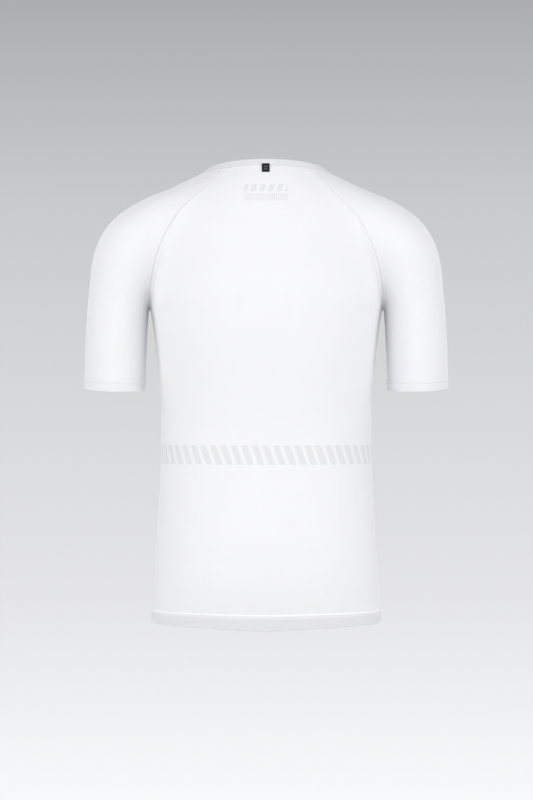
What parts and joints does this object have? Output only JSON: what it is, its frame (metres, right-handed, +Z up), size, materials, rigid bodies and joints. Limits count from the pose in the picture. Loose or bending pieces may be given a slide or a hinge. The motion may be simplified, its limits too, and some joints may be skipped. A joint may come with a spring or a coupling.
{
  "type": "base layer top",
  "caption": "Short-sleeved raglan base layer top of fine white knit, filled out as if worn, with a narrow neckband, hem and cuff bands and a small neck label.",
  "frame": {"origin": "midway between the shoulders at the height of the neckline's sides, where the wearer's shoulders hold the garment", "axes": "+Z up, the wearer's front faces -Y and back +Y, the wearer's left is +X"},
  "size_m": [0.5282, 0.2213, 0.6719],
  "materials": {
    "body_knit": "fine white seamless knit, soft sheen",
    "band_knit": "white ribbed band knit, matte",
    "woven_label": "black woven label"
  },
  "bodies": {
    "root": {"back": "body_knit", "front": "body_knit", "sleeve_left": "body_knit", "sleeve_right": "body_knit", "neckband": "band_knit", "hem_band": "band_knit", "cuff_left": "band_knit", "cuff_right": "band_knit", "neck_label": "woven_label"}
  },
  "joints": []
}
